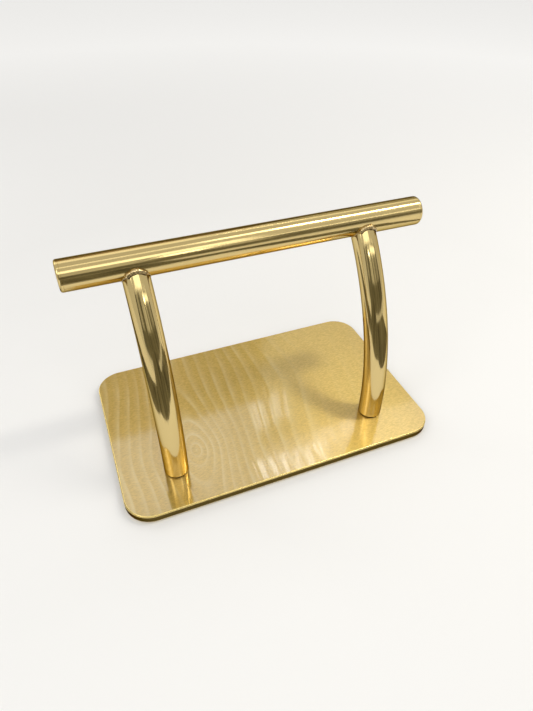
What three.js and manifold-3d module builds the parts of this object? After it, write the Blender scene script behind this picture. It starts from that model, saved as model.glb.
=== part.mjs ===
// Free-standing footrest: a round foot bar welded to two bent tube legs, screwed to a flat base plate.
// Millimetres, +Z up. X runs along the bar, -Y is the front, and Z = 0 is the floor under the pads.
import * as THREE from "three";
import { mergeVertices } from "three/addons/utils/BufferGeometryUtils.js";
import Module from "manifold-3d";

const wasm = await Module();
wasm.setup();

// Base plate
const plateLength = 384;
const plateDepth = 242;
const plateThickness = 10;
const plateCornerRadius = 31;
const plateEdgeRadius = 1.5;

// Rubber pads under the plate's corners, placed by their centres
const padDiameter = 30;
const padThickness = 1.5;
const padInset = 36;
const padBevel = 0.4;

// Foot bar, measured over its end caps, with its axis above the floor and behind the middle of the plate
const barLength = 396;
const barDiameter = 32;
const barWall = 1.5;
const barHeight = 240;
const barSetback = 11;

// End caps: a face with a rounded rim, and a cupped spigot inside the bar
const capThickness = 4;
const capRimRadius = 2.5;
const capSpigotLength = 10;
const capSpigotWall = 2;
const capSpigotBevel = 1;

// Legs: an upright foot in front of the plate's middle, then one bend back to just below the bar's axis
const legDiameter = 28;
const legWall = 1.5;
const legSpacing = 254;
const legFootForward = 68;
const legUpright = 18;
const legDrop = 3;

// Weld bead round the notch where a leg meets the bar: full in front and behind, thin at the sides
const beadRadius = 3.2;
const beadSideRadius = 1.4;

// Plug in each leg's foot, and the countersunk socket screw into it from below the plate
const plugLength = 12;
const screwDiameter = 8;
const screwHeadDiameter = 16;
const screwHeadRim = 0.6;
const screwRecess = 0.5;
const screwEngagement = 10;
const socketAcrossFlats = 5;
const socketDepth = 3;

// Clearances
const sleeveGap = 0.3; // a spigot or plug in its tube
const screwGap = 0.4; // a screw in its hole
const weldGap = 0.3; // a notch or bead off the tubes that it fits

// Fineness of the round forms
const roundSides = 32;
const legSteps = 14;
const cornerSteps = 8;
const edgeSteps = 3;
const beadSides = 10;
const beadSteps = 40;

// What follows from the sizes
const plateTop = padThickness + plateThickness;
const barRadius = barDiameter / 2;
const legRadius = legDiameter / 2;
const legBore = legRadius - legWall;
const tubeLength = barLength - 2 * capThickness;
const legRun = legFootForward + barSetback;
const barRise = barHeight - plateTop;
const bendRise = barRise - legDrop - legUpright;
const bendAngle = 2 * Math.atan2(legRun, bendRise);
const bendRadius = bendRise / Math.sin(bendAngle);
const legBehindBar = legDrop * Math.sin(bendAngle);

const polishedGold = { color: 0xd9b45a, roughness: 0.06, metalness: 1 };
const brushedGold = { color: 0xcbb078, roughness: 0.32, metalness: 1 };
const plainSteel = { color: 0x8f9194, roughness: 0.4, metalness: 1 };
const blackRubber = { color: 0x1b1b1c, roughness: 0.85, metalness: 0 };

function piece(name, geometry, finish) {
  const mesh = new THREE.Mesh(geometry, new THREE.MeshStandardMaterial(finish));
  mesh.name = name;
  return mesh;
}

// A closed geometry as a solid that can be cut
function solidOf(geometry) {
  const bare = geometry.clone();
  bare.deleteAttribute("normal");
  bare.deleteAttribute("uv");
  const merged = mergeVertices(bare);
  const vertProperties = merged.attributes.position.array;
  const triVerts = new Uint32Array(merged.index.array);
  return new wasm.Manifold(new wasm.Mesh({ numProp: 3, vertProperties, triVerts }));
}

function geometryOf(solid) {
  const { vertProperties, triVerts } = solid.getMesh();
  const geometry = new THREE.BufferGeometry();
  geometry.setAttribute("position", new THREE.BufferAttribute(vertProperties, 3));
  return geometry.setIndex(new THREE.BufferAttribute(triVerts, 1));
}

// A form turned round an upright axis, from pairs of radius and height
function turned(outline) {
  const points = outline.map(([radius, height]) => new THREE.Vector2(radius, height));
  return new THREE.LatheGeometry(points, roundSides).rotateX(Math.PI / 2);
}

// A turned tube: the outline closes on itself
function turnedTube(outer, bore, bottom, top) {
  const outline = [
    [bore, bottom],
    [outer, bottom],
    [outer, top],
    [bore, top],
  ];
  return turned([...outline, outline[0]]);
}

function circle(radius) {
  return new THREE.Shape().absarc(0, 0, radius, 0, 2 * Math.PI);
}

// Centre line of a leg from the middle of its foot: upright, then one bend that ends below the bar's axis
class LegLine extends THREE.Curve {
  getPoint(share, target = new THREE.Vector3()) {
    const along = share * (legUpright + bendRadius * bendAngle);
    const turn = Math.max(0, along - legUpright) / bendRadius;
    const back = bendRadius * (1 - Math.cos(turn));
    const up = Math.min(along, legUpright) + bendRadius * Math.sin(turn);
    return target.set(0, back, up);
  }
}

function alongLeg(shape) {
  return new THREE.ExtrudeGeometry(shape, {
    extrudePath: new LegLine(),
    steps: legSteps,
    curveSegments: roundSides / 2,
    bevelEnabled: false,
  });
}

// The room that the bar takes, seen from a leg's foot: it notches the leg and the bead
function barRoom() {
  const radius = barRadius + weldGap;
  const length = 2 * (legDiameter + 2 * beadRadius);
  const room = new THREE.CylinderGeometry(radius, radius, length, roundSides);
  return solidOf(room.rotateZ(Math.PI / 2).translate(0, legRun, barRise));
}

function legGeometry() {
  const wall = circle(legRadius);
  wall.holes.push(circle(legBore));
  return geometryOf(solidOf(alongLeg(wall)).subtract(barRoom()));
}

// A ring round the leg, thinned at the sides and pushed down until its middle follows the saddle
// between leg and bar
function beadGeometry() {
  const ring = new THREE.TorusGeometry(legRadius, beadRadius, beadSides, beadSteps);
  const place = ring.attributes.position;
  const point = new THREE.Vector3();
  const middle = new THREE.Vector3();
  for (let i = 0; i < place.count; i++) {
    point.fromBufferAttribute(place, i);
    const turn = Math.atan2(point.y, point.x);
    middle.set(legRadius * Math.cos(turn), legRadius * Math.sin(turn), 0);
    const radius = THREE.MathUtils.lerp(beadSideRadius, beadRadius, Math.sin(turn) ** 2);
    point.sub(middle).multiplyScalar(radius / beadRadius).add(middle);
    const acrossBar = middle.y + legBehindBar;
    const saddle = Math.sqrt(Math.max(0, barRadius ** 2 - acrossBar ** 2));
    place.setXYZ(i, point.x, point.y, point.z - saddle);
  }
  ring.translate(0, legBehindBar, 0).rotateX(-bendAngle).translate(0, legRun, barRise);
  const legRoom = solidOf(alongLeg(circle(legRadius + weldGap)));
  return geometryOf(solidOf(ring).subtract(barRoom()).subtract(legRoom));
}

// A cap from the end of the bar's tube at height 0: the face above, the spigot below
function capGeometry() {
  const spigot = barRadius - barWall - sleeveGap;
  const bore = spigot - capSpigotWall;
  const rim = new THREE.Path();
  rim.absarc(barRadius - capRimRadius, capThickness - capRimRadius, capRimRadius, 0, Math.PI / 2);
  return turned([
    [0, 0],
    [bore, 0],
    [bore, -capSpigotLength],
    [spigot - capSpigotBevel, -capSpigotLength],
    [spigot, capSpigotBevel - capSpigotLength],
    [spigot, 0],
    [barRadius, 0],
    ...rim.getPoints(edgeSteps).map(({ x, y }) => [x, y]),
    [0, capThickness],
  ]);
}

// Half outline of a countersunk screw, or of the hole for it, upwards from the plate's underside
function screwOutline(gap, bottom, top) {
  const head = screwHeadDiameter / 2 + gap;
  const shank = screwDiameter / 2 + gap;
  const coneStart = screwRecess + screwHeadRim;
  return [
    [0, bottom],
    [head, bottom],
    [head, coneStart],
    [shank, coneStart + head - shank],
    [shank, top],
    [0, top],
  ];
}

function screwGeometry() {
  const body = turned(screwOutline(0, screwRecess, plateThickness + screwEngagement));
  const corner = socketAcrossFlats / Math.sqrt(3);
  const socket = new THREE.CylinderGeometry(corner, corner, 2 * socketDepth, 6);
  socket.rotateX(Math.PI / 2).translate(0, 0, screwRecess);
  return geometryOf(solidOf(body).subtract(solidOf(socket)));
}

function plugGeometry() {
  return turnedTube(legBore - sleeveGap, screwDiameter / 2 + screwGap, 0, plugLength);
}

function plateOutline() {
  const x = plateLength / 2 - plateCornerRadius;
  const y = plateDepth / 2 - plateCornerRadius;
  const quarter = Math.PI / 2;
  const outline = new THREE.Shape();
  outline.absarc(x, -y, plateCornerRadius, -quarter, 0);
  outline.absarc(x, y, plateCornerRadius, 0, quarter);
  outline.absarc(-x, y, plateCornerRadius, quarter, 2 * quarter);
  outline.absarc(-x, -y, plateCornerRadius, 2 * quarter, 3 * quarter);
  return outline;
}

// The plate from its underside upwards, with rounded edges and a countersunk hole under each leg
function plateGeometry() {
  const slab = new THREE.ExtrudeGeometry(plateOutline(), {
    depth: plateThickness - 2 * plateEdgeRadius,
    bevelThickness: plateEdgeRadius,
    bevelSize: plateEdgeRadius,
    bevelOffset: -plateEdgeRadius,
    bevelSegments: edgeSteps,
    curveSegments: cornerSteps / 2,
  });
  slab.translate(0, 0, plateEdgeRadius);
  const hole = turned(screwOutline(screwGap, -plateThickness, 2 * plateThickness));
  let plate = solidOf(slab);
  for (const side of [-1, 1]) {
    const cut = hole.clone().translate((side * legSpacing) / 2, -legFootForward, 0);
    plate = plate.subtract(solidOf(cut));
  }
  return geometryOf(plate);
}

function padGeometry() {
  const radius = padDiameter / 2;
  return turned([
    [0, 0],
    [radius - padBevel, 0],
    [radius, padBevel],
    [radius, padThickness],
    [0, padThickness],
  ]);
}

const footrest = new THREE.Group();
const sides = { left: -1, right: 1 };
const ends = { front: -1, back: 1 };

// The plate on its pads
const plate = piece("base_plate", plateGeometry(), brushedGold);
plate.position.z = padThickness;
footrest.add(plate);
for (const [end, alongY] of Object.entries(ends)) {
  for (const [side, alongX] of Object.entries(sides)) {
    const pad = piece(`${end}_${side}_pad`, padGeometry(), blackRubber);
    pad.position.x = alongX * (plateLength / 2 - padInset);
    pad.position.y = alongY * (plateDepth / 2 - padInset);
    footrest.add(pad);
  }
}

// Each leg with its bead and its fastening
for (const [side, alongX] of Object.entries(sides)) {
  const foot = new THREE.Group();
  foot.position.set((alongX * legSpacing) / 2, -legFootForward, plateTop);
  foot.add(piece(`${side}_leg`, legGeometry(), polishedGold));
  foot.add(piece(`${side}_leg_weld`, beadGeometry(), polishedGold));
  foot.add(piece(`${side}_leg_plug`, plugGeometry(), plainSteel));
  const screw = piece(`${side}_leg_screw`, screwGeometry(), plainSteel);
  screw.position.z = -plateThickness;
  foot.add(screw);
  footrest.add(foot);
}

// The bar with its caps
const bar = new THREE.Group();
bar.position.set(0, barSetback, barHeight);
const tube = turnedTube(barRadius, barRadius - barWall, -tubeLength / 2, tubeLength / 2);
bar.add(piece("foot_bar", tube.rotateY(Math.PI / 2), polishedGold));
for (const [side, alongX] of Object.entries(sides)) {
  const cap = capGeometry().rotateY((alongX * Math.PI) / 2);
  cap.translate((alongX * tubeLength) / 2, 0, 0);
  bar.add(piece(`${side}_end_cap`, cap, polishedGold));
}
footrest.add(bar);

export default footrest;
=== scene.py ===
from math import acos, atan2, cos, e, pi, radians, sin, sqrt

import bmesh
import bpy
from mathutils import Matrix, Vector, noise


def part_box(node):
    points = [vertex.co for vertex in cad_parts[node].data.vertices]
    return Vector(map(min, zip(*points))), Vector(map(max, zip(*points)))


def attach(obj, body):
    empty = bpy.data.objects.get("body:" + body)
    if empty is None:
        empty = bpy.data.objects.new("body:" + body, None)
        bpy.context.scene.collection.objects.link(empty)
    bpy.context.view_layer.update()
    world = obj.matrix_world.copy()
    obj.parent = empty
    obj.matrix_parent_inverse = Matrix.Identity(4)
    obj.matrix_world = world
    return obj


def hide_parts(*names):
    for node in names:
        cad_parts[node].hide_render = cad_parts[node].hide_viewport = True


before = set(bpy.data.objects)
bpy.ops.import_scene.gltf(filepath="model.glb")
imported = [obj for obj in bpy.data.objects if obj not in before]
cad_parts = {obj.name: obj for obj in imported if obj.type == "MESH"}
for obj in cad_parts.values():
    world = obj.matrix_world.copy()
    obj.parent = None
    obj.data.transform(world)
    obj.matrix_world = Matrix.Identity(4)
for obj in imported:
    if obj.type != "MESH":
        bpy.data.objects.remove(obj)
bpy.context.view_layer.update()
scene = bpy.context.scene
mm = 0.001
print("frame loaded with", len(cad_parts), "nodes")


# sizes that the frame gives
plateLow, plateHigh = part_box("base_plate")
barLow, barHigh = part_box("foot_bar")
legLow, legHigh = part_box("left_leg")
plugLow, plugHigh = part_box("left_leg_plug")
plateTop = plateHigh.z
plateMiddle = (plateLow.z + plateHigh.z) / 2
barAxis = (barLow + barHigh) / 2
barRadius = (barHigh.z - barLow.z) / 2
legRadius = (legHigh.x - legLow.x) / 2
footY = (plugLow.y + plugHigh.y) / 2
footX = {}
for side in ("left", "right"):
    low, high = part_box(side + "_leg_plug")
    footX[side] = (low.x + high.x) / 2
upright = Vector((0, 0, 1))


# small helpers for meshes

sameSpot = 0.001 * mm  # points closer than this are merged


def spinOutline(outline, axis, place, steps):
    # outline: pairs of radius and height along the axis, joined up and turned right round
    bm = bmesh.new()
    verts = [bm.verts.new((radius, 0, height)) for radius, height in outline]
    edges = [bm.edges.new(pair) for pair in zip(verts, verts[1:])]
    bmesh.ops.spin(
        bm, geom=verts + edges, cent=(0, 0, 0), axis=(0, 0, 1),
        angle=2 * pi, steps=steps, use_merge=True,
    )
    bmesh.ops.remove_doubles(bm, verts=bm.verts[:], dist=sameSpot)
    bmesh.ops.recalc_face_normals(bm, faces=bm.faces[:])
    turn = upright.rotation_difference(axis).to_matrix().to_4x4()
    bmesh.ops.transform(bm, matrix=Matrix.Translation(place) @ turn, verts=bm.verts[:])
    return bm


def roundedCorner(middle, radius, start, end, steps):
    # points of an arc in an outline, angles in degrees
    turns = [radians(start + (end - start) * i / steps) for i in range(steps + 1)]
    return [(middle[0] + radius * cos(t), middle[1] + radius * sin(t)) for t in turns]


def newEdges(grown):
    # the far ring of an extrusion
    verts = [item for item in grown["geom"] if isinstance(item, bmesh.types.BMVert)]
    reached = set(verts)
    edges = [item for item in grown["geom"] if isinstance(item, bmesh.types.BMEdge)]
    return verts, [edge for edge in edges if reached.issuperset(edge.verts)]


def finishPiece(name, bm, materials, node):
    mesh = bpy.data.meshes.new(name)
    bm.to_mesh(mesh)
    bm.free()
    for material in materials:
        mesh.materials.append(material)
    piece = bpy.data.objects.new(name, mesh)
    scene.collection.objects.link(piece)
    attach(piece, "root")
    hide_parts(node)
    return piece


def smoothFaces(bm):
    for face in bm.faces:
        face.smooth = True


def sharpEdges(bm, angle):
    # edges where two faces meet at more than this many degrees
    for edge in bm.edges:
        edge.smooth = len(edge.link_faces) == 2 and edge.calc_face_angle() < radians(angle)


# small helpers for materials

def newMaterial(name):
    material = bpy.data.materials.new(name)
    material.use_nodes = True
    shader = material.node_tree.nodes["Principled BSDF"]
    return material, shader


def addNode(material, kind, **inputs):
    node = material.node_tree.nodes.new(kind)
    for socket, value in inputs.items():
        node.inputs[socket.replace("_", " ")].default_value = value
    return node


def link(material, output, target):
    material.node_tree.links.new(output, target)


def patternNoise(material, coords, stretch, detail=3.0, roughness=0.55):
    # noise on stretched coordinates, stretch in cells per metre along each axis
    mapping = addNode(material, "ShaderNodeMapping", Scale=stretch)
    link(material, coords, mapping.inputs["Vector"])
    texture = addNode(material, "ShaderNodeTexNoise", Scale=1.0, Detail=detail, Roughness=roughness)
    link(material, mapping.outputs["Vector"], texture.inputs["Vector"])
    return texture.outputs["Fac"]


def remap(material, value, low, high, fromLow=0.3, fromHigh=0.7):
    # the usual range of a noise, or another one, spread from low to high
    node = addNode(
        material, "ShaderNodeMapRange", From_Min=fromLow, From_Max=fromHigh, To_Min=low, To_Max=high)
    link(material, value, node.inputs["Value"])
    return node.outputs["Result"]


def blendColours(material, value, first, second):
    node = addNode(material, "ShaderNodeMix")
    node.data_type = "RGBA"
    node.inputs["A"].default_value = (*first, 1)
    node.inputs["B"].default_value = (*second, 1)
    link(material, value, node.inputs["Factor"])
    return node.outputs["Result"]


def bumpFrom(material, height, depth, under=None):
    node = addNode(material, "ShaderNodeBump", Strength=1.0, Distance=depth)
    link(material, height, node.inputs["Height"])
    if under:
        link(material, under, node.inputs["Normal"])
    return node.outputs["Normal"]


def mathNode(material, operation, *values):
    node = addNode(material, "ShaderNodeMath")
    node.operation = operation
    for socket, value in zip(node.inputs, values):
        if isinstance(value, float):
            socket.default_value = value
        else:
            link(material, value, socket)
    return node.outputs["Value"]


def objectCoords(material):
    return addNode(material, "ShaderNodeTexCoord").outputs["Object"]


def splitCoords(material, coords):
    node = addNode(material, "ShaderNodeSeparateXYZ")
    link(material, coords, node.inputs["Vector"])
    return node.outputs


def meshAttribute(material, name):
    node = addNode(material, "ShaderNodeAttribute")
    node.attribute_name = name
    return node.outputs


# mirror-polished gold of the tubes

tubeGold = {
    "colour": (0.745, 0.585, 0.268),
    "deepColour": (0.70, 0.535, 0.232),
    # the dark edge tint darkens grazing reflections, as painted shade along the tubes' outlines
    "edgeTint": (0.22, 0.17, 0.10),
    "tintCells": (14, 14, 14),
    # the foot colour and heights give painted shade on the ring under each leg's rim
    "paintedFootShade": (0.05, 0.035, 0.015),
    "footShade": (1.0 * mm, 1.4 * mm),
}
# fine marks and drawn lines run along each tube: X on the bar, and Z on a leg before it is bent
barLines = {
    "gloss": (0.12, 0.18), "fineCells": (5, 900, 900), "drawnCells": (1.5, 330, 330), "depth": 0.12 * mm,
}
legLines = {
    "gloss": (0.07, 0.14), "fineCells": (900, 900, 8), "drawnCells": (330, 330, 5), "depth": 0.06 * mm,
}


def polishTube(material, shader, coords, lines):
    shader.inputs["Metallic"].default_value = 1.0
    shader.inputs["Specular Tint"].default_value = (*tubeGold["edgeTint"], 1)
    tint = patternNoise(material, coords, tubeGold["tintCells"])
    gold = blendColours(material, tint, tubeGold["colour"], tubeGold["deepColour"])
    link(material, gold, shader.inputs["Base Color"])
    fine = patternNoise(material, coords, lines["fineCells"], detail=4.0)
    link(material, remap(material, fine, *lines["gloss"]), shader.inputs["Roughness"])
    drawn = patternNoise(material, coords, lines["drawnCells"], detail=1.0)
    link(material, bumpFrom(material, drawn, lines["depth"]), shader.inputs["Normal"])
    return gold


def barMaterial():
    material, shader = newMaterial("barGold")
    polishTube(material, shader, objectCoords(material), barLines)
    return material


def legMaterial():
    material, shader = newMaterial("legGold")
    coords = meshAttribute(material, "unbent")["Vector"]
    gold = polishTube(material, shader, coords, legLines)
    # the ring that the leg stands on lies under its rounded rim, and its colour is darkened there as painted
    # shade
    height = remap(material, splitCoords(material, coords)["Z"], 0, 1, *tubeGold["footShade"])
    shaded = blendColours(material, height, tubeGold["paintedFootShade"], tubeGold["colour"])
    link(material, gold, shaded.node.inputs["B"])
    link(material, shaded, shader.inputs["Base Color"])
    return material


barGold = barMaterial()
legGold = legMaterial()

# weld beads are polished over, a little duller and browner in the dips, and darkened where they meet the
# tubes as painted shade in the crease

weldFinish = {
    "colour": (0.74, 0.575, 0.30), "dipColour": (0.44, 0.31, 0.14), "creaseShadeColour": (0.06, 0.04, 0.02),
    "gloss": (0.16, 0.32), "dipCells": (420, 420, 420), "dipDepth": 0.12 * mm,
}


def weldMaterial():
    material, shader = newMaterial("weldGold")
    coords = objectCoords(material)
    shader.inputs["Metallic"].default_value = 1.0
    dips = patternNoise(material, coords, weldFinish["dipCells"])
    dipped = remap(material, dips, 0, 1)
    gold = blendColours(material, dipped, weldFinish["colour"], weldFinish["dipColour"])
    # the seam mask paints shade into the crease where the bead meets the tubes
    seam = meshAttribute(material, "seam")["Fac"]
    shaded = blendColours(material, seam, weldFinish["colour"], weldFinish["creaseShadeColour"])
    link(material, gold, shaded.node.inputs["A"])
    link(material, shaded, shader.inputs["Base Color"])
    link(material, remap(material, dips, *weldFinish["gloss"]), shader.inputs["Roughness"])
    link(material, bumpFrom(material, dips, weldFinish["dipDepth"]), shader.inputs["Normal"])
    return material


weldGold = weldMaterial()

# plate top: brushed along X, so reflections stay sharp along X and smear along Y, under a thin clear layer
# with faint wavy ridges; the wavy lines are also painted paler into the colour as a painted reflection

brushed = {
    "colour": (0.83, 0.595, 0.17),
    "streakColour": (0.64, 0.45, 0.118),
    "streakCells": (250, 900, 60),
    "streakRange": (0.38, 0.62),
    "roughness": (0.305, 0.28),
    "anisotropy": 1.0,
    "grainDepth": 0.005 * mm,
    "coat": 1.0,
    "coatIor": 1.9,
    "coatRoughness": 0.07,
    "swellCells": (75, 11, 30),
    "swellDepth": 0.05 * mm,
}
# the wavy lines, painted paler as a painted reflection and raised as ridges in the clear layer, bend round
# one knot beside the left foot, grow apart away from it and fade out towards the right
waves = {
    "colour": (0.90, 0.74, 0.36),
    "depth": 0.022 * mm,
    "knot": (-98 * mm, -50 * mm),
    "knotGap": 6.0 * mm,
    "knotLength": 1.7,
    "knotReach": 42 * mm,
    "gapGrowth": 0.10,
    "driftCells": (5, 3.5, 1),
    "drift": 30.0,
    "skew": 0.8,
    "crest": (-0.3, 1.0),
    "patchCells": (26, 14, 1),
    "patches": (0.05, 0.75),
    "fadeX": (0.0, 90 * mm),
    "fadeTo": 0.1,
}


def wavePhase(material, coords, apart):
    # upright lines on most of the plate, rings near the knot
    knotX, knotY = waves["knot"]
    across = mathNode(material, "SUBTRACT", apart["X"], knotX)
    endways = mathNode(material, "SUBTRACT", apart["Y"], knotY)
    endways = mathNode(material, "MULTIPLY", endways, endways)
    limit = mathNode(material, "MULTIPLY_ADD", endways, 1 / waves["knotReach"] ** 2, 1.0)
    bent = mathNode(material, "DIVIDE", endways, limit)
    bent = mathNode(material, "DIVIDE", bent, waves["knotLength"] ** 2)
    fromKnot = mathNode(material, "SQRT", mathNode(material, "MULTIPLY_ADD", across, across, bent))
    drift = patternNoise(material, coords, waves["driftCells"], detail=1.5)
    opening = mathNode(material, "MULTIPLY_ADD", fromKnot, waves["gapGrowth"] / waves["knotGap"], 1.0)
    count = mathNode(material, "LOGARITHM", opening, e)
    along = mathNode(material, "MULTIPLY", count, 2 * pi / waves["gapGrowth"])
    return mathNode(material, "MULTIPLY_ADD", drift, waves["drift"], along)


def brushedMaterial():
    material, shader = newMaterial("brushedGold")
    coords = objectCoords(material)
    shader.inputs["Metallic"].default_value = 1.0
    shader.inputs["Anisotropic"].default_value = brushed["anisotropy"]
    shader.inputs["Coat Weight"].default_value = brushed["coat"]
    shader.inputs["Coat IOR"].default_value = brushed["coatIor"]
    shader.inputs["Coat Roughness"].default_value = brushed["coatRoughness"]
    tangent = addNode(material, "ShaderNodeTangent")
    tangent.direction_type = "UV_MAP"
    tangent.uv_map = "acrossGrain"
    link(material, tangent.outputs["Tangent"], shader.inputs["Tangent"])
    apart = splitCoords(material, coords)
    streaks = patternNoise(material, coords, brushed["streakCells"], detail=4.0, roughness=0.7)
    streaked = remap(material, streaks, 0, 1, *brushed["streakRange"])
    gold = blendColours(material, streaked, brushed["colour"], brushed["streakColour"])
    leftward = remap(material, apart["X"], 1.0, waves["fadeTo"], *waves["fadeX"])
    phase = wavePhase(material, coords, apart)
    skewed = mathNode(material, "MULTIPLY_ADD", mathNode(material, "SINE", phase), waves["skew"], phase)
    lines = mathNode(material, "SINE", skewed)
    crest = remap(material, lines, 0, 1, *waves["crest"])
    patches = remap(material, patternNoise(material, coords, waves["patchCells"]), *waves["patches"])
    above = remap(material, apart["Z"], 0, 1, plateMiddle - mm, plateMiddle + mm)  # none on the underside
    leftTop = mathNode(material, "MULTIPLY", leftward, above)
    shown = mathNode(material, "MULTIPLY", mathNode(material, "MULTIPLY", crest, patches), leftTop)
    # the paler crests of the wavy lines are painted reflection in the base colour
    pale = blendColours(material, shown, brushed["colour"], waves["colour"])
    link(material, gold, pale.node.inputs["A"])
    link(material, pale, shader.inputs["Base Color"])
    link(material, remap(material, streaks, *brushed["roughness"]), shader.inputs["Roughness"])
    grain = bumpFrom(material, streaks, brushed["grainDepth"])
    swell = patternNoise(material, coords, brushed["swellCells"], detail=1.0)
    link(material, bumpFrom(material, swell, brushed["swellDepth"], under=grain), shader.inputs["Normal"])
    ridges = bumpFrom(material, mathNode(material, "MULTIPLY", lines, above), waves["depth"])
    coatSwell = bumpFrom(material, swell, brushed["swellDepth"], under=ridges)
    link(material, coatSwell, shader.inputs["Coat Normal"])
    return material


brushedGold = brushedMaterial()

# plate edge: a polished rounded rim, painted lighter than the top as painted highlight, and a side painted
# dark with a dark edge tint as painted shade, with fine lines round it

rimHighlightFinish = {
    # rim colour lighter than the plate top: painted highlight
    "colour": (0.98, 0.77, 0.30), "deepColour": (0.95, 0.73, 0.27), "gloss": (0.24, 0.32),
    "edgeTint": (1, 1, 1), "lineCells": (120, 120, 2600), "lineDepth": 0.002 * mm,
}
sideShadeFinish = {
    # side colour and edge tint dark: painted shade
    "colour": (0.17, 0.125, 0.05), "deepColour": (0.10, 0.075, 0.03), "gloss": (0.22, 0.34),
    "edgeTint": (0.30, 0.24, 0.12), "lineCells": (120, 120, 2600), "lineDepth": 0.01 * mm,
}


def edgeMaterial(name, finish):
    material, shader = newMaterial(name)
    coords = objectCoords(material)
    shader.inputs["Metallic"].default_value = 1.0
    shader.inputs["Specular Tint"].default_value = (*finish["edgeTint"], 1)
    lines = patternNoise(material, coords, finish["lineCells"])
    gold = blendColours(material, lines, finish["colour"], finish["deepColour"])
    link(material, gold, shader.inputs["Base Color"])
    link(material, remap(material, lines, *finish["gloss"]), shader.inputs["Roughness"])
    link(material, bumpFrom(material, lines, finish["lineDepth"]), shader.inputs["Normal"])
    return material


rimHighlightGold = edgeMaterial("rimHighlightGold", rimHighlightFinish)
sideShadeGold = edgeMaterial("sideShadeGold", sideShadeFinish)

# steel of the screws and plugs, rubber of the pads

steel = {
    "colour": (0.44, 0.44, 0.45), "markColour": (0.34, 0.34, 0.35), "roughness": (0.28, 0.42),
    "markCells": (900, 900, 900),
}
rubber = {
    "colour": (0.012, 0.012, 0.013), "grainColour": (0.022, 0.022, 0.023), "roughness": (0.75, 0.9),
    "grainCells": (1800, 1800, 1800), "grainDepth": 0.05 * mm,
}


def steelMaterial():
    material, shader = newMaterial("fastenerSteel")
    shader.inputs["Metallic"].default_value = 1.0
    marks = patternNoise(material, objectCoords(material), steel["markCells"])
    grey = blendColours(material, marks, steel["colour"], steel["markColour"])
    link(material, grey, shader.inputs["Base Color"])
    link(material, remap(material, marks, *steel["roughness"]), shader.inputs["Roughness"])
    return material


def rubberMaterial():
    material, shader = newMaterial("padRubber")
    grains = patternNoise(material, objectCoords(material), rubber["grainCells"])
    black = blendColours(material, grains, rubber["colour"], rubber["grainColour"])
    link(material, black, shader.inputs["Base Color"])
    link(material, remap(material, grains, *rubber["roughness"]), shader.inputs["Roughness"])
    link(material, bumpFrom(material, grains, rubber["grainDepth"]), shader.inputs["Normal"])
    return material


fastenerSteel = steelMaterial()
padRubber = rubberMaterial()
print("materials made:", len(bpy.data.materials))


# base plate

plate = {
    "corner": 31 * mm, "cornerSteps": 20, "edge": 1.5 * mm, "edgeSteps": 6,
    "levelFrom": 0.999, "rimFrom": 0.05, "holeSteps": 64,
}
screw = {"head": 8 * mm, "shank": 4 * mm, "rim": 0.6 * mm, "recess": 0.5 * mm, "gap": 0.4 * mm}


def buildPlate():
    bm = bmesh.new()
    centre = (plateLow + plateHigh) / 2
    size = plateHigh - plateLow
    bmesh.ops.create_grid(bm, x_segments=1, y_segments=1, size=0.5)
    bmesh.ops.scale(bm, vec=(size.x, size.y, 1), verts=bm.verts[:])
    bmesh.ops.translate(bm, vec=(centre.x, centre.y, plateLow.z), verts=bm.verts[:])
    bmesh.ops.bevel(
        bm, geom=bm.verts[:], offset=plate["corner"], offset_type="OFFSET", affect="VERTICES",
        segments=plate["cornerSteps"], profile=0.5, material=-1,
    )
    grown = bmesh.ops.extrude_face_region(bm, geom=bm.faces[:])
    verts = [item for item in grown["geom"] if isinstance(item, bmesh.types.BMVert)]
    bmesh.ops.translate(bm, vec=(0, 0, size.z), verts=verts)
    bmesh.ops.recalc_face_normals(bm, faces=bm.faces[:])
    rims = [edge for edge in bm.edges if abs(edge.verts[0].co.z - edge.verts[1].co.z) < sameSpot]
    bmesh.ops.bevel(
        bm, geom=rims, offset=plate["edge"], offset_type="OFFSET", affect="EDGES",
        segments=plate["edgeSteps"], profile=0.5, material=-1,
    )
    for face in bm.faces:
        # level faces are brushed, those of the rounded edge polished, and the rest are the side
        level = abs(face.normal.z)
        face.material_index = 0 if level > plate["levelFrom"] else 1 if level > plate["rimFrom"] else 2
    return bm


def screwHole(x):
    # countersink from below, then a clear hole right through
    head = screw["head"] + screw["gap"]
    shank = screw["shank"] + screw["gap"]
    coneStart = screw["recess"] + screw["rim"]
    start = -plateTop
    end = 2 * plateTop
    outline = [
        (0, start), (head, start), (head, coneStart),
        (shank, coneStart + head - shank), (shank, end), (0, end),
    ]
    return spinOutline(outline, upright, Vector((x, footY, plateLow.z)), plate["holeSteps"])


def cutHoles(piece, cutters):
    for bm in cutters:
        mesh = bpy.data.meshes.new("holeCutter")
        bm.to_mesh(mesh)
        bm.free()
        cutter = bpy.data.objects.new("holeCutter", mesh)
        scene.collection.objects.link(cutter)
        cut = piece.modifiers.new("hole", "BOOLEAN")
        cut.operation = "DIFFERENCE"
        cut.solver = "EXACT"
        cut.object = cutter
        bpy.context.view_layer.update()
        depsgraph = bpy.context.evaluated_depsgraph_get()
        result = bpy.data.meshes.new_from_object(piece.evaluated_get(depsgraph))
        piece.modifiers.clear()
        piece.data = result
        bpy.data.objects.remove(cutter)


def shadePlate(piece):
    # flat top and underside, smooth rim, and a map whose U runs across the grain
    mesh = piece.data
    for face in mesh.polygons:
        face.use_smooth = abs(face.normal.z) < plate["levelFrom"]
    across = mesh.uv_layers.new(name="acrossGrain")
    for loop in mesh.loops:
        place = mesh.vertices[loop.vertex_index].co
        across.data[loop.index].uv = (place.y, -place.x)


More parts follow.
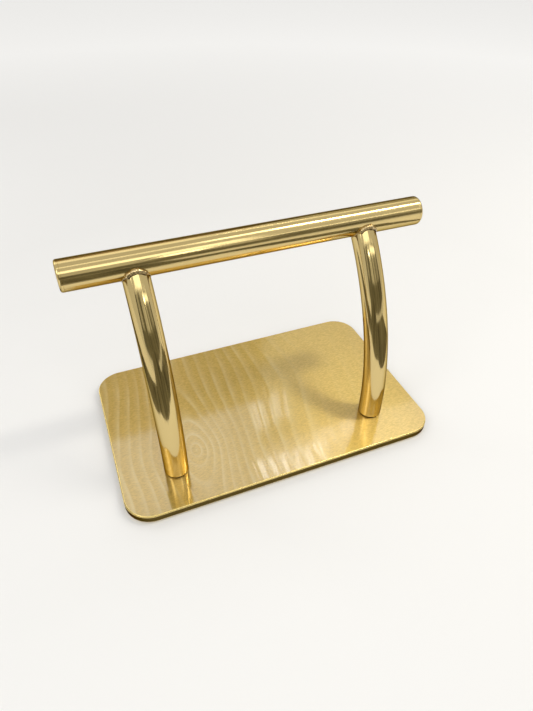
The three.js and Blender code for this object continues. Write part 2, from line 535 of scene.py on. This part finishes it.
plateMaterials = [brushedGold, rimHighlightGold, sideShadeGold]
basePlate = finishPiece("basePlate", buildPlate(), plateMaterials, "base_plate")
cutHoles(basePlate, [screwHole(x) for x in footX.values()])
basePlate.data.name = "basePlate"
shadePlate(basePlate)
print("plate done:", len(basePlate.data.polygons), "faces")


# foot bar and its end caps

bar = {"wall": 1.5 * mm, "steps": 128, "seam": 0.12 * mm, "sharp": 30}
cap = {
    "rim": 2.5 * mm, "rimSteps": 10, "spigot": 10 * mm, "spigotGap": 0.3 * mm, "spigotWall": 2 * mm,
    "spigotBevel": 1 * mm, "flatFrom": 0.9999,
}


def buildBar():
    half = (barHigh.x - barLow.x) / 2
    bore = barRadius - bar["wall"]
    seam = bar["seam"]
    outline = [
        (bore, -half), (barRadius - seam, -half), (barRadius, seam - half),
        (barRadius, half - seam), (barRadius - seam, half), (bore, half), (bore, -half),
    ]
    bm = spinOutline(outline, Vector((1, 0, 0)), barAxis, bar["steps"])
    smoothFaces(bm)
    sharpEdges(bm, bar["sharp"])
    return bm


def buildCap(side):
    low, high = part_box(side + "_end_cap")
    outward = 1 if side == "right" else -1
    seatX = barHigh.x if side == "right" else barLow.x
    faceX = high.x if side == "right" else low.x
    thick = abs(faceX - seatX)
    spigot = barRadius - bar["wall"] - cap["spigotGap"]
    bore = spigot - cap["spigotWall"]
    bevel = cap["spigotBevel"]
    rim = cap["rim"]
    seam = bar["seam"]
    outline = [
        (0, 0), (bore, 0), (bore, -cap["spigot"]), (spigot - bevel, -cap["spigot"]),
        (spigot, bevel - cap["spigot"]), (spigot, 0), (barRadius - seam, 0), (barRadius, seam),
        *roundedCorner((barRadius - rim, thick - rim), rim, 0, 90, cap["rimSteps"]), (0, thick),
    ]
    seat = Vector((seatX, barAxis.y, barAxis.z))
    bm = spinOutline(outline, Vector((outward, 0, 0)), seat, bar["steps"])
    smoothFaces(bm)
    for face in bm.faces:
        if abs(face.normal.x) > cap["flatFrom"]:
            face.smooth = False
    sharpEdges(bm, bar["sharp"])
    return bm


footBar = finishPiece("footBar", buildBar(), [barGold], "foot_bar")
for side in ("left", "right"):
    finishPiece(side + "EndCap", buildCap(side), [barGold], side + "_end_cap")
print("bar done:", len(footBar.data.polygons), "faces")


# bent legs, notched at the top to sit on the bar

leg = {
    "upright": 18 * mm, "drop": 3 * mm, "wall": 1.5 * mm, "sides": 96, "bendSteps": 56, "uprightSteps": 4,
    "notchSteps": 4, "notchRoom": 1 * mm, "footGap": 1.3 * mm, "footRim": 0.8 * mm, "rimSteps": 5,
    "sink": 0.2 * mm,
}

# one bend carries each leg from its upright foot back to just below the bar's axis
bendRise = barAxis.z - leg["drop"] - plateTop - leg["upright"]
bendAngle = 2 * atan2(barAxis.y - footY, bendRise)
bendRadius = bendRise / sin(bendAngle)
bendCentre = Vector((0, footY + bendRadius, plateTop + leg["upright"]))
barOut = barAxis - bendCentre
barReach = barOut.yz.length
barTurn = atan2(barOut.z, -barOut.y)


def notchTurn(reach):
    # how far round the bend a line at this distance from the bend's centre meets the bar
    seat = barRadius - leg["sink"]
    share = (reach**2 + barReach**2 - seat**2) / (2 * reach * barReach)
    return barTurn - acos(min(1, share))


def buildLeg(x):
    bm = bmesh.new()
    foot = Vector((x, footY, plateTop))
    rim = leg["footRim"]
    bmesh.ops.create_circle(
        bm, segments=leg["sides"], radius=legRadius - rim, matrix=Matrix.Translation(foot),
    )
    verts, edges = newEdges(bmesh.ops.extrude_edge_only(bm, edges=bm.edges[:]))
    bmesh.ops.translate(bm, vec=(0, 0, leg["footGap"]), verts=verts)
    reached = legRadius - rim
    for step in range(leg["rimSteps"]):
        turn = pi / 2 * (step + 1) / leg["rimSteps"]
        lastTurn = pi / 2 * step / leg["rimSteps"]
        wanted = legRadius - rim + rim * sin(turn)
        verts, edges = newEdges(bmesh.ops.extrude_edge_only(bm, edges=edges))
        grow = wanted / reached
        bmesh.ops.scale(bm, vec=(grow, grow, 1), space=Matrix.Translation(-foot), verts=verts)
        bmesh.ops.translate(bm, vec=(0, 0, rim * (cos(lastTurn) - cos(turn))), verts=verts)
        reached = wanted
    rise = (leg["upright"] - rim - leg["footGap"]) / leg["uprightSteps"]
    for step in range(leg["uprightSteps"]):
        verts, edges = newEdges(bmesh.ops.extrude_edge_only(bm, edges=edges))
        bmesh.ops.translate(bm, vec=(0, 0, rise), verts=verts)
    straightBend = notchTurn(barReach) - leg["notchRoom"] / bendRadius
    spun = bmesh.ops.spin(
        bm, geom=verts + edges, cent=bendCentre, axis=(-1, 0, 0), angle=straightBend,
        steps=leg["bendSteps"], use_duplicate=False,
    )
    edges = [item for item in spun["geom_last"] if isinstance(item, bmesh.types.BMEdge)]
    for step in range(leg["notchSteps"]):
        verts, edges = newEdges(bmesh.ops.extrude_edge_only(bm, edges=edges))
        share = (step + 1) / leg["notchSteps"]
        for vert in verts:
            reach = (vert.co - bendCentre).yz.length
            turn = straightBend + (notchTurn(reach) - straightBend) * share
            vert.co.y = bendCentre.y - reach * cos(turn)
            vert.co.z = bendCentre.z + reach * sin(turn)
    bmesh.ops.recalc_face_normals(bm, faces=bm.faces[:])
    sideFace = max(bm.faces, key=lambda face: face.calc_center_median().x)
    if sideFace.normal.x < 0:
        bmesh.ops.reverse_faces(bm, faces=bm.faces[:])
    smoothFaces(bm)
    return bm


def markUnbent(piece, x):
    # each point's place on the leg before it was bent, for marks that run along the tube
    unbent = piece.data.attributes.new("unbent", "FLOAT_VECTOR", "POINT")
    for vert, mark in zip(piece.data.vertices, unbent.data):
        out = vert.co - bendCentre
        if out.z < 0:
            mark.vector = (vert.co.x - x, vert.co.y - footY, vert.co.z - plateTop)
        else:
            turn = atan2(out.z, -out.y)
            mark.vector = (vert.co.x - x, bendRadius - out.yz.length, leg["upright"] + bendRadius * turn)


# weld beads where the legs meet the bar

weld = {
    "front": 2.9 * mm, "side": 0.9 * mm, "under": 0.1, "sag": 1.0 * mm, "sides": 24, "steps": 220,
    "sideFrom": 0.86, "sideFade": 0.30, "lumps": 0.34, "lumpRate": 3.2, "ripples": 0.16, "rippleRate": 12,
    "rippleSeed": 5, "seamStart": 35, "seamEnd": 75,
}


def clamped(share):
    return min(1, max(0, share))


def beadShare(around):
    # full bead over the middle of the leg's front, thin over its sides and underside
    share = clamped((weld["sideFrom"] - abs(cos(around))) / weld["sideFade"])
    rounded = share * share * (3 - 2 * share)
    return rounded * weld["under"] if sin(around) > 0 else rounded


def beadNoise(around, rate, seed):
    return noise.noise(Vector((rate * cos(around), rate * sin(around), seed)))


def buildWeld(x):
    bm = bmesh.new()
    place = Matrix.Translation((legRadius, 0, 0)) @ Matrix.Rotation(pi / 2, 4, "X")
    bmesh.ops.create_circle(bm, segments=weld["sides"], radius=weld["front"], matrix=place)
    bmesh.ops.spin(
        bm, geom=bm.verts[:] + bm.edges[:], cent=(0, 0, 0), axis=(0, 0, 1),
        angle=2 * pi, steps=weld["steps"], use_merge=True,
    )
    bmesh.ops.remove_doubles(bm, verts=bm.verts[:], dist=sameSpot)
    bmesh.ops.recalc_face_normals(bm, faces=bm.faces[:])
    behindBar = barReach - bendRadius
    seam = bm.verts.layers.float.new("seam")
    thin = weld["side"] / weld["front"]
    seamStart = radians(weld["seamStart"])
    seamEnd = radians(weld["seamEnd"])
    for vert in bm.verts:
        around = atan2(vert.co.y, vert.co.x)
        middle = Vector((legRadius * cos(around), legRadius * sin(around), 0))
        lump = beadNoise(around, weld["lumpRate"], x / mm)
        ripple = beadNoise(around, weld["rippleRate"], x / mm + weld["rippleSeed"])
        full = beadShare(around)
        outward = vert.co.xy.length - legRadius
        tip = abs(atan2(vert.co.z, outward))
        # painted shade mask: full in the crease where the bead meets the tubes
        vert[seam] = clamped((tip - seamStart) / (seamEnd - seamStart))
        size = thin + (1 - thin) * full
        size *= 1 + weld["lumps"] * lump + weld["ripples"] * ripple
        vert.co = middle + (vert.co - middle) * size
        across = middle.y + behindBar
        vert.co.z -= sqrt(max(0, barRadius**2 - across**2)) + weld["sag"] * full
    turn = Matrix.Rotation(-bendAngle, 4, "X") @ Matrix.Translation((0, behindBar, 0))
    bmesh.ops.transform(
        bm, matrix=Matrix.Translation((x, barAxis.y, barAxis.z)) @ turn, verts=bm.verts[:],
    )
    smoothFaces(bm)
    return bm


for side, x in footX.items():
    piece = finishPiece(side + "Leg", buildLeg(x), [legGold], side + "_leg")
    markUnbent(piece, x)
    wall = piece.modifiers.new("wall", "SOLIDIFY")
    wall.thickness = leg["wall"]
    wall.offset = -1
    finishPiece(side + "LegWeld", buildWeld(x), [weldGold], side + "_leg_weld")
print("legs and welds done")


# countersunk socket screws under the plate, and the plugs that they hold

socket = {
    "acrossFlats": 5 * mm, "mouth": 3.1 * mm, "lead": 0.4 * mm, "depth": 3 * mm, "steps": 72,
    "headChamfer": 0.25 * mm, "tipChamfer": 0.6 * mm, "sharp": 25,
}


def buildScrew(x, top):
    coneStart = screw["recess"] + screw["rim"]
    chamfer = socket["headChamfer"]
    tip = socket["tipChamfer"]
    outline = [
        (socket["mouth"], screw["recess"]), (screw["head"] - chamfer, screw["recess"]),
        (screw["head"], screw["recess"] + chamfer), (screw["head"], coneStart),
        (screw["shank"], coneStart + screw["head"] - screw["shank"]),
        (screw["shank"], top - tip), (screw["shank"] - tip, top), (0, top),
    ]
    bm = spinOutline(outline, upright, Vector((0, 0, 0)), socket["steps"])
    # the socket has six flats
    edges = [edge for edge in bm.edges if edge.is_boundary]
    for depth in (socket["lead"], socket["depth"]):
        verts, edges = newEdges(bmesh.ops.extrude_edge_only(bm, edges=edges))
        for vert in verts:
            around = atan2(vert.co.y, vert.co.x)
            fromFlat = (around % (pi / 3)) - pi / 6
            reach = socket["acrossFlats"] / 2 / cos(fromFlat)
            vert.co = Vector((reach * cos(around), reach * sin(around), screw["recess"] + depth))
    bmesh.ops.edgeloop_fill(bm, edges=edges)
    bmesh.ops.recalc_face_normals(bm, faces=bm.faces[:])
    bmesh.ops.translate(bm, vec=(x, footY, plateLow.z), verts=bm.verts[:])
    smoothFaces(bm)
    sharpEdges(bm, socket["sharp"])
    return bm


for side, x in footX.items():
    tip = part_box(side + "_leg_screw")[1]
    bm = buildScrew(x, tip.z - plateLow.z)
    finishPiece(side + "LegScrew", bm, [fastenerSteel], side + "_leg_screw")
    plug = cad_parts[side + "_leg_plug"]
    for place in plug.material_slots:
        place.material = fastenerSteel


# rubber pads

pad = {
    "round": 0.4 * mm, "roundSteps": 4, "dish": 0.3 * mm, "dishFloor": 0.30, "dishMouth": 0.36,
    "steps": 64, "sharp": 30,
}


def buildPad(low, high):
    radius = (high.x - low.x) / 2
    thick = high.z - low.z
    edge = pad["round"]
    outline = [
        (0, pad["dish"]), (radius * pad["dishFloor"], pad["dish"]), (radius * pad["dishMouth"], 0),
        *roundedCorner((radius - edge, edge), edge, -90, 0, pad["roundSteps"]),
        (radius, thick), (0, thick),
    ]
    middle = (low + high) / 2
    bm = spinOutline(outline, upright, Vector((middle.x, middle.y, low.z)), pad["steps"])
    smoothFaces(bm)
    sharpEdges(bm, pad["sharp"])
    return bm


padNames = {
    "front_left_pad": "frontLeftPad", "front_right_pad": "frontRightPad",
    "back_left_pad": "backLeftPad", "back_right_pad": "backRightPad",
}
for node, name in padNames.items():
    finishPiece(name, buildPad(*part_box(node)), [padRubber], node)
print("screws and pads done")


# floor

paleFloor = {
    "half": 40.0, "colour": (0.84, 0.835, 0.825), "roughness": 0.9, "shine": 0.1,
    "glowColour": (1, 0.995, 0.985), "glow": (0.035, 0.28), "glowReach": (0.6, 2.3),
}


def buildFloor():
    # the floor glows a little, in the picture and in mirrors alone, so it stays pale into the distance
    material, shader = newMaterial("paleFloor")
    shader.inputs["Base Color"].default_value = (*paleFloor["colour"], 1)
    shader.inputs["Roughness"].default_value = paleFloor["roughness"]
    shader.inputs["Specular IOR Level"].default_value = paleFloor["shine"]
    shader.inputs["Emission Color"].default_value = (*paleFloor["glowColour"], 1)
    away = addNode(material, "ShaderNodeVectorMath")
    away.operation = "LENGTH"
    link(material, objectCoords(material), away.inputs[0])
    glow = remap(material, away.outputs["Value"], *paleFloor["glow"], *paleFloor["glowReach"])
    path = addNode(material, "ShaderNodeLightPath")
    seen = mathNode(material, "ADD", path.outputs["Is Camera Ray"], path.outputs["Is Glossy Ray"])
    seen = mathNode(material, "ADD", seen, path.outputs["Is Transmission Ray"])
    link(material, mathNode(material, "MULTIPLY", glow, seen), shader.inputs["Emission Strength"])
    bm = bmesh.new()
    bmesh.ops.create_grid(bm, x_segments=1, y_segments=1, size=paleFloor["half"])
    mesh = bpy.data.meshes.new("floor")
    bm.to_mesh(mesh)
    bm.free()
    mesh.materials.append(material)
    floor = bpy.data.objects.new("floor", mesh)
    scene.collection.objects.link(floor)


buildFloor()
print("floor done")


# soft studio light

studio = {"world": (0.65, 0.645, 0.63), "warm": (1, 0.95, 0.84), "white": (1, 1, 1)}


def addLamp(name, place, tilt, size, radiance, colour=studio["white"], turn=0):
    # size along X and across, in metres; it shines down, tilted about X and turned about Y by so many
    # degrees
    data = bpy.data.lights.new(name, "AREA")
    data.shape = "RECTANGLE"
    data.size, data.size_y = size
    data.color = colour
    data.energy = radiance * pi * size[0] * size[1]
    lamp = bpy.data.objects.new(name, data)
    lamp.location = place
    lamp.rotation_euler = (radians(tilt), radians(turn), 0)
    lamp.visible_camera = False
    scene.collection.objects.link(lamp)


world = bpy.data.worlds.new("studio")
world.use_nodes = True
background = world.node_tree.nodes["Background"]
background.inputs["Color"].default_value = (*studio["world"], 1)
scene.world = world

keyLamps = {
    "keyStrip": {"place": (0.70, -0.17, 1.30), "tilt": 8, "size": (0.50, 0.10), "radiance": 23.0},
    "farKeyStrip": {"place": (1.30, -0.17, 1.30), "tilt": 8, "size": (0.70, 0.08), "radiance": 8.0},
    "keyGlow": {"place": (1.05, -0.17, 1.31), "tilt": 8, "size": (1.2, 0.28), "radiance": 0.8},
}
for name, lamp in keyLamps.items():
    addLamp(name, **lamp, colour=studio["warm"])

softLamps = {
    "fadeStrip": {"place": (0.32, -0.17, 1.30), "tilt": 8, "size": (0.26, 0.20), "radiance": 2.2},
    "dimStrip": {"place": (-0.30, -0.17, 1.30), "tilt": 8, "size": (1.2, 0.14), "radiance": 0.8},
    "frontStrip": {"place": (0.85, -1.20, 1.12), "tilt": 54, "size": (1.5, 0.10), "radiance": 1.9},
    "leftSoftbox": {"place": (-0.30, 1.5, 2.3), "tilt": -33, "size": (1.6, 0.9), "radiance": 0.63},
    "middleSoftbox": {"place": (0.75, 1.5, 2.3), "tilt": -33, "size": (0.5, 0.9), "radiance": 0.30},
    "rightSoftbox": {"place": (1.65, 1.5, 2.3), "tilt": -33, "size": (1.3, 0.9), "radiance": 0.55},
}
for name, lamp in softLamps.items():
    addLamp(name, **lamp)

# small lamps behind the object, for glints in the plate's clear layer
spark = {"tilt": -33, "size": (0.05, 0.12)}
sparks = {
    "sparkOne": {"place": (0.42, 1.05, 1.26), "radiance": 1.4},
    "sparkTwo": {"place": (0.50, 1.05, 1.23), "radiance": 1.4},
    "sparkThree": {"place": (0.96, 1.35, 1.96), "radiance": 0.9},
    "sparkFour": {"place": (1.08, 1.35, 1.92), "radiance": 1.1},
    "sparkFive": {"place": (1.22, 1.35, 1.86), "radiance": 0.9},
}
for name, lamp in sparks.items():
    addLamp(name, **lamp, **spark)

sparkRow = {"count": 6, "start": (0.44, 1.05, 1.675), "gap": 0.065}
rowSpark = {"tilt": -33, "size": (0.012, 0.11), "radiance": 9.0}
for number in range(sparkRow["count"]):
    startX, y, z = sparkRow["start"]
    addLamp(f"rowSpark{number + 1}", (startX + number * sparkRow["gap"], y, z), **rowSpark)

boards = {
    "sparkLamp": {"place": (0.0, -0.37, 0.47), "tilt": 60, "size": (0.08, 0.02), "radiance": 6.0},
    "highBoard": {"place": (-0.25, -1.05, 1.45), "tilt": 55, "size": (1.5, 0.45), "radiance": 1.3},
    "footBoard": {"place": (-0.92, -0.36, 1.0), "tilt": 0, "size": (0.5, 0.4), "radiance": 2.6, "turn": -40},
    "edgeBoard": {"place": (-1.0, 1.0, 0.80), "tilt": -60, "size": (0.6, 0.6), "radiance": 1.6},
    "farLeftBoard": {"place": (-1.15, -1.22, 0.90), "tilt": 80, "size": (0.50, 0.8), "radiance": 0.30},
    "leftBoard": {"place": (-0.20, -1.22, 0.90), "tilt": 80, "size": (0.50, 0.8), "radiance": 0.45},
    "rightBoard": {"place": (0.36, -1.22, 0.90), "tilt": 80, "size": (0.28, 0.8), "radiance": 0.35},
    "farRightBoard": {"place": (1.1, -1.22, 0.90), "tilt": 80, "size": (0.75, 0.8), "radiance": 0.25},
}
for name, lamp in boards.items():
    addLamp(name, **lamp)
print("light done:", len(bpy.data.lights), "lamps")


# cards outside the picture, for dark, brown and grey bands in the polished metal

cardTones = {
    "dark": ((0.065, 0.062, 0.045), (0.28, 0.268, 0.21)),
    "brown": ((0.40, 0.265, 0.15), (0.56, 0.39, 0.23)),
    "deepBrown": ((0.26, 0.165, 0.085), (0.38, 0.255, 0.14)),
    "grey": ((0.57, 0.56, 0.52), (0.67, 0.655, 0.62)),
}
cardStreaks = (11, 11, 0.5)  # cells per metre, long upright
cards = {
    "frontWall": {"x": (-2.0, 2.0), "y": -1.26, "z": (0.3, 1.3), "tone": "dark"},
    "sideCard": {"x": (-0.88, -0.50), "y": -1.21, "z": (0.3, 0.95), "tone": "dark"},
    "backCard": {"x": (-0.5, 0.12), "y": 1.1, "z": (0.80, 1.22), "tone": "brown"},
    "darkCard": {"x": (0.12, 0.45), "y": 1.1, "z": (0.80, 1.22), "tone": "deepBrown"},
    "greyCard": {"x": (0.45, 2.2), "y": 1.1, "z": (0.80, 1.55), "tone": "grey"},
    "backFlag": {"x": (-0.5, 2.2), "y": 1.1, "z": (0.36, 0.80), "tone": "dark"},
}


def addCard(name, corners, tone):
    bm = bmesh.new()
    bm.faces.new([bm.verts.new(corner) for corner in corners])
    mesh = bpy.data.meshes.new(name)
    bm.to_mesh(mesh)
    bm.free()
    material, shader = newMaterial(name)
    streaks = remap(material, patternNoise(material, objectCoords(material), cardStreaks), 0, 1)
    link(material, blendColours(material, streaks, *cardTones[tone]), shader.inputs["Base Color"])
    shader.inputs["Roughness"].default_value = 1.0
    shader.inputs["Specular IOR Level"].default_value = 0.0
    mesh.materials.append(material)
    card = bpy.data.objects.new(name, mesh)
    card.visible_camera = False
    card.visible_shadow = False
    card.visible_diffuse = False
    scene.collection.objects.link(card)


for name, card in cards.items():
    left, right = card["x"]
    low, high = card["z"]
    outline = [(left, low), (right, low), (right, high), (left, high)]
    addCard(name, [(x, card["y"], z) for x, z in outline], card["tone"])
print("cards done:", len(cards))


# camera

viewpoint = {
    "azimuth": -22.2352, "elevation": 40.8181, "roll": 0.7199,
    "place": (-0.17485, -0.45455, 0.51000), "lens": 26.798, "sensor": 36, "picture": (533, 711),
    "clip": 10 * mm,
}


def addCamera():
    azimuth = radians(viewpoint["azimuth"])
    elevation = radians(viewpoint["elevation"])
    roll = radians(viewpoint["roll"])
    back = Vector((sin(azimuth) * cos(elevation), -cos(azimuth) * cos(elevation), sin(elevation)))
    right = Vector((cos(azimuth), sin(azimuth), 0))
    up = back.cross(right)
    across = right * cos(roll) + up * sin(roll)
    upward = up * cos(roll) - right * sin(roll)
    data = bpy.data.cameras.new("camera")
    data.lens = viewpoint["lens"]
    data.sensor_width = viewpoint["sensor"]
    data.clip_start = viewpoint["clip"]
    camera = bpy.data.objects.new("camera", data)
    camera.rotation_mode = "QUATERNION"
    camera.rotation_quaternion = Matrix((across, upward, back)).transposed().to_quaternion()
    camera.location = viewpoint["place"]
    scene.collection.objects.link(camera)
    scene.camera = camera
    return across, upward, back


across, upward, back = addCamera()
print("camera done")


# flags that lean just outside the picture, from the floor towards the lens; their feet are given in half
# widths and half heights of the picture from its middle

flags = {
    "lowFlag": {"from": (-1.03, -1.03), "to": (1.03, -1.03), "rise": 0.5},
    "leftFlag": {"from": (-1.03, 0.1), "to": (-1.03, -1.03), "rise": 0.21},
    "rightFlag": {"from": (1.03, -1.03), "to": (1.03, 0.0), "rise": 0.32},
}
eye = Vector(viewpoint["place"])
wide, high = viewpoint["picture"]
halfHigh = viewpoint["sensor"] / 2 / viewpoint["lens"]
halfWide = halfHigh * wide / high


def floorPoint(sideways, upwards):
    # where a place in the picture lies on the floor
    ray = across * sideways * halfWide + upward * upwards * halfHigh - back
    return eye + ray * (-eye.z / ray.z)


for name, flag in flags.items():
    feet = [floorPoint(*flag["from"]), floorPoint(*flag["to"])]
    tops = [foot.lerp(eye, flag["rise"]) for foot in reversed(feet)]
    addCard(name, feet + tops, "dark")
print("flags done:", len(flags))

scene.view_settings.view_transform = "Standard"
